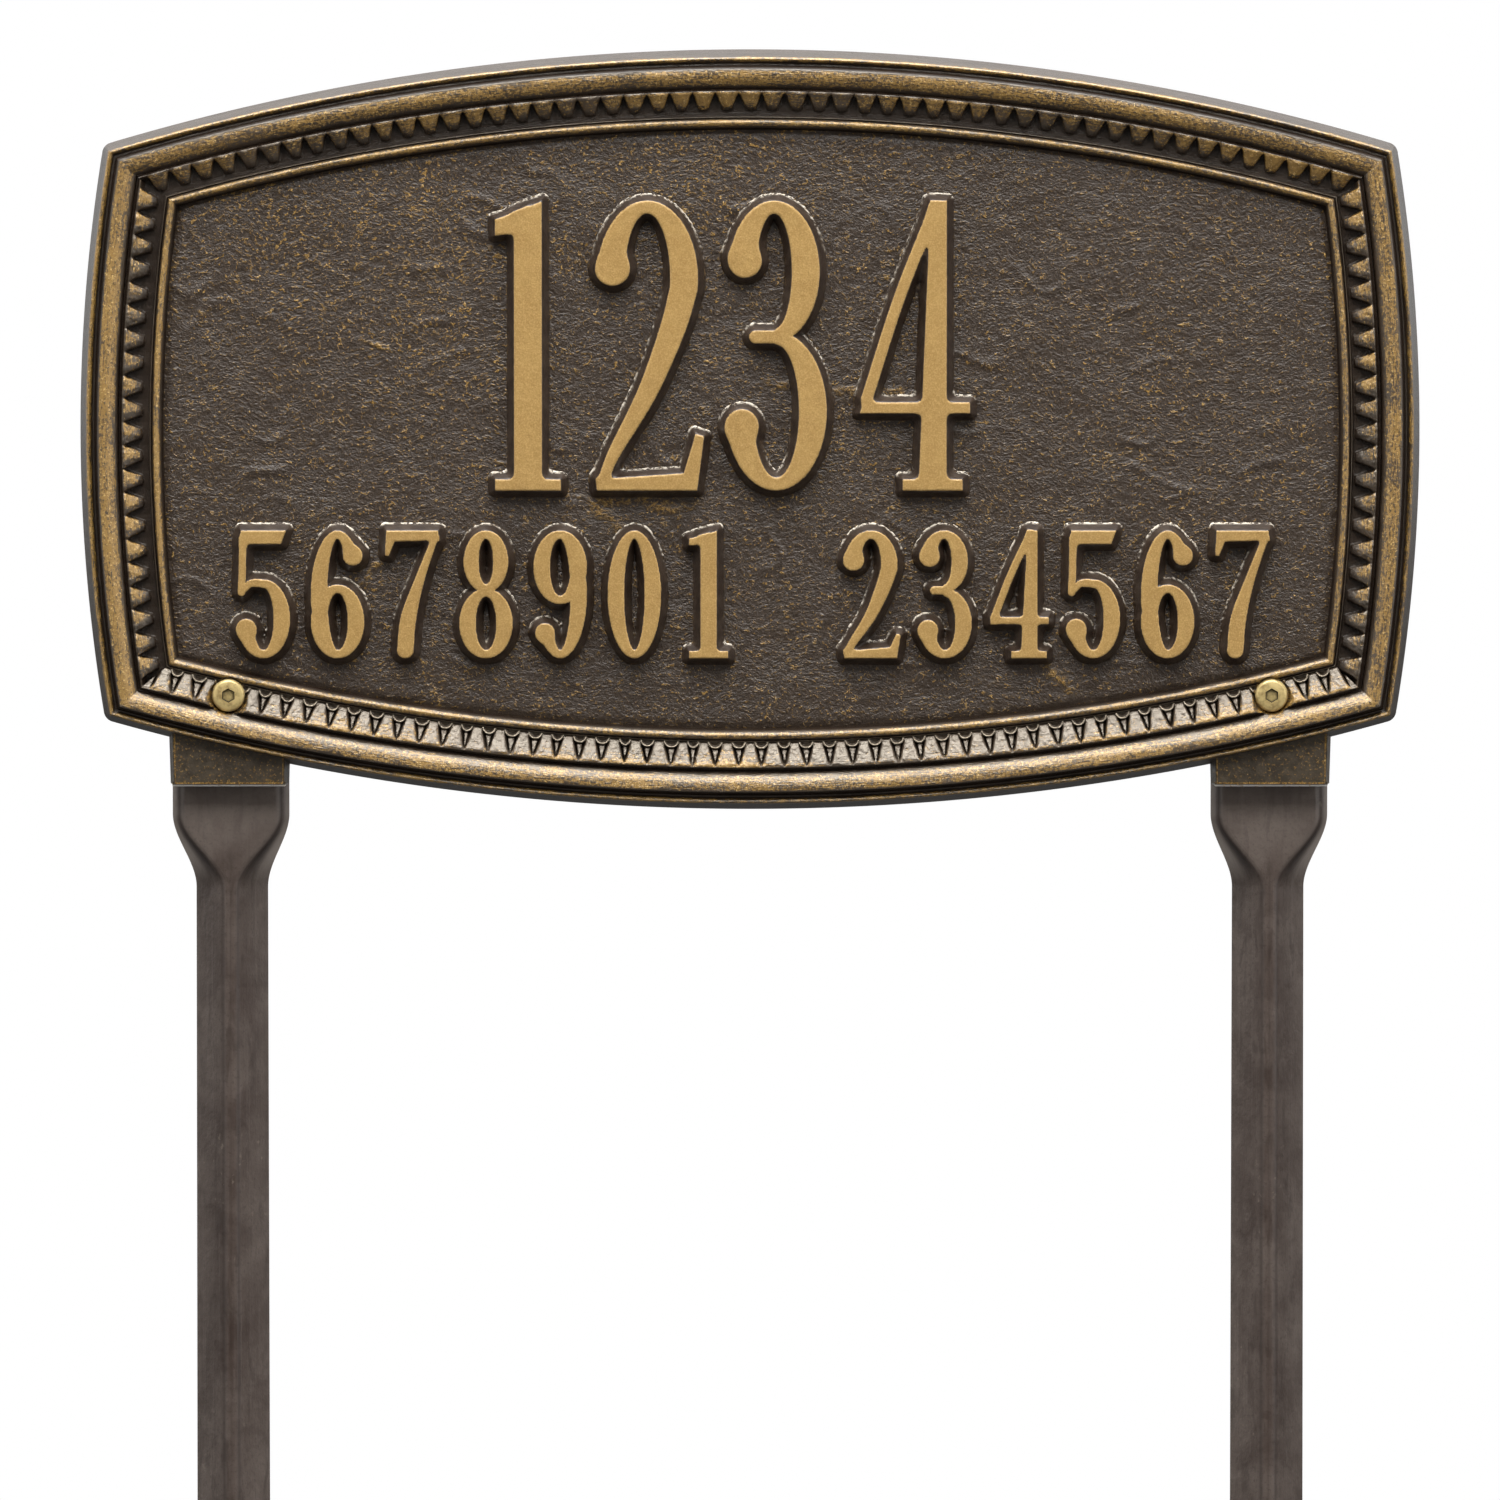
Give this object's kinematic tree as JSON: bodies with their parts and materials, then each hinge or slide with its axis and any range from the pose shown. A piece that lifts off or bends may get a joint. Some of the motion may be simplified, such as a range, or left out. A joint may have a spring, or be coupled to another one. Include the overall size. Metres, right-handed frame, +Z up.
{
  "type": "street name sign",
  "caption": "Cast street name sign with a toothed frame and arched edges, held on two pointed ground stakes by screws, washers and nuts.",
  "frame": {"origin": "on the ground line, midway between the two stakes, in the plane where the back of the plaque meets the front of the stakes", "axes": "+X to the right as the sign is read, +Z up along the stakes, and the front of the sign faces -Y"},
  "size_m": [0.36, 0.024, 0.6211],
  "materials": {
    "cast_aluminium": "dark painted casting with dry-brushed gold high spots",
    "painted_steel": "satin dark grey-brown",
    "brass": "satin",
    "plated_steel": "dull plated"
  },
  "bodies": {
    "root": {"sign_plaque": "cast_aluminium", "left_stake": "painted_steel", "right_stake": "painted_steel", "left_screw": "brass", "right_screw": "brass", "left_washer": "plated_steel", "right_washer": "plated_steel", "left_nut": "plated_steel", "right_nut": "plated_steel"}
  },
  "joints": []
}
